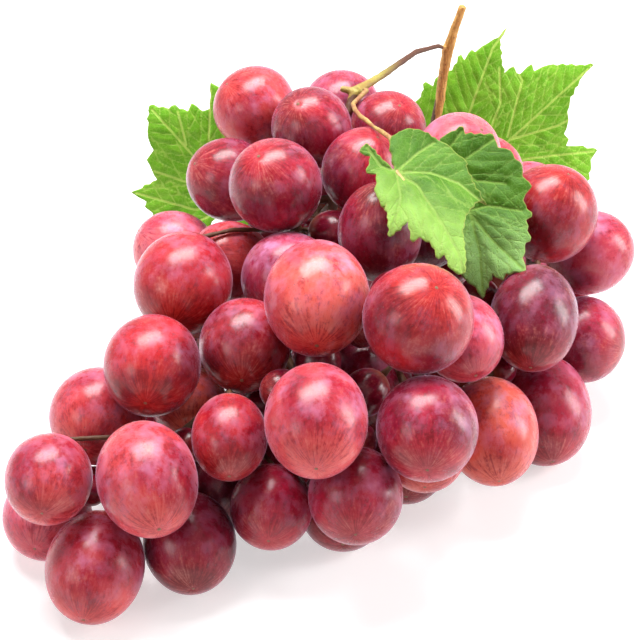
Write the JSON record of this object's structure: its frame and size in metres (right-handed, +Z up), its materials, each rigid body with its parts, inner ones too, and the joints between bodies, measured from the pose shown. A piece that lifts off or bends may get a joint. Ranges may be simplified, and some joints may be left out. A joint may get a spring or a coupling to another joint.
{
  "type": "bunch of grapes",
  "caption": "Bunch of large oval red table grapes lying on its side, with its branched stalk, a piece of cane and vine leaves.",
  "frame": {"origin": "middle of the bounding box's base, on the surface that the bunch lies on", "axes": "+Z up from the surface, +Y the bunch's long way, from its tip at the front to the cane and stalk end at the back, +X to the right as seen from the front"},
  "size_m": [0.1695, 0.2014, 0.084],
  "materials": {
    "skin_coral": "satin, coral pink with a waxy bloom",
    "skin_scarlet": "satin, bright red with a waxy bloom",
    "skin_brick": "satin, brick red with a waxy bloom",
    "skin_amber": "satin, peach orange with brown spots",
    "skin_crimson": "satin, crimson with a waxy bloom",
    "skin_rose": "satin, bright pink",
    "skin_pink": "satin, dusky pink with a waxy bloom",
    "skin_lilac": "matt, crimson under a thick lilac bloom",
    "skin_wine": "satin, dark purple red",
    "stalk": "matt, yellow green stems and brown cane",
    "leaf_light": "satin, light green with pale veins",
    "leaf_dark": "satin, mid green with pale veins",
    "leaf_back": "satin, yellow green with pale veins"
  },
  "bodies": {
    "root": {"berry_back_corner": "skin_wine", "berry_back_left": "skin_wine", "berry_back_middle": "skin_crimson", "berry_back_outer": "skin_crimson", "berry_back_right": "skin_scarlet", "berry_centre_coral": "skin_coral", "berry_centre_lilac": "skin_lilac", "berry_centre_red": "skin_scarlet", "berry_centre_rose": "skin_pink", "berry_core": "skin_wine", "berry_front_coral": "skin_coral", "berry_front_left": "skin_coral", "berry_leaf_shade": "skin_wine", "berry_left_back": "skin_crimson", "berry_left_brick": "skin_brick", "berry_left_front": "skin_scarlet", "berry_left_inner": "skin_amber", "berry_left_low": "skin_coral", "berry_left_outer": "skin_pink", "berry_left_upper": "skin_coral", "berry_low_behind": "skin_wine", "berry_low_front": "skin_crimson", "berry_low_left": "skin_wine", "berry_low_middle": "skin_crimson", "berry_right_amber": "skin_amber", "berry_right_far": "skin_pink", "berry_right_front": "skin_crimson", "berry_right_low": "skin_crimson", "berry_right_middle": "skin_wine", "berry_right_outer": "skin_pink", "berry_right_peach": "skin_amber", "berry_right_shade": "skin_wine", "berry_right_upper": "skin_scarlet", "berry_rose_back": "skin_rose", "berry_rose_far": "skin_rose", "berry_rose_top": "skin_rose", "berry_small_dark": "skin_wine", "berry_tip_front": "skin_crimson", "berry_tip_left": "skin_coral", "berry_tip_low": "skin_coral", "berry_top_crimson": "skin_crimson", "berry_top_dark": "skin_wine", "berry_top_front": "skin_crimson", "berry_top_left": "skin_scarlet", "berry_top_lilac": "skin_lilac", "berry_top_shade": "skin_wine", "berry_top_side": "skin_wine", "berry_under_front": "skin_wine", "berry_under_leaf": "skin_wine", "berry_under_left": "skin_crimson", "berry_under_middle": "skin_wine", "berry_under_side": "skin_crimson", "berry_under_tip": "skin_wine", "berry_upper_back": "skin_scarlet", "berry_upper_corner": "skin_crimson", "leaf_back_left": "leaf_back", "leaf_back_right": "leaf_back", "leaf_front_dark": "leaf_dark", "leaf_front_light": "leaf_light", "stalk": "stalk"}
  },
  "joints": []
}
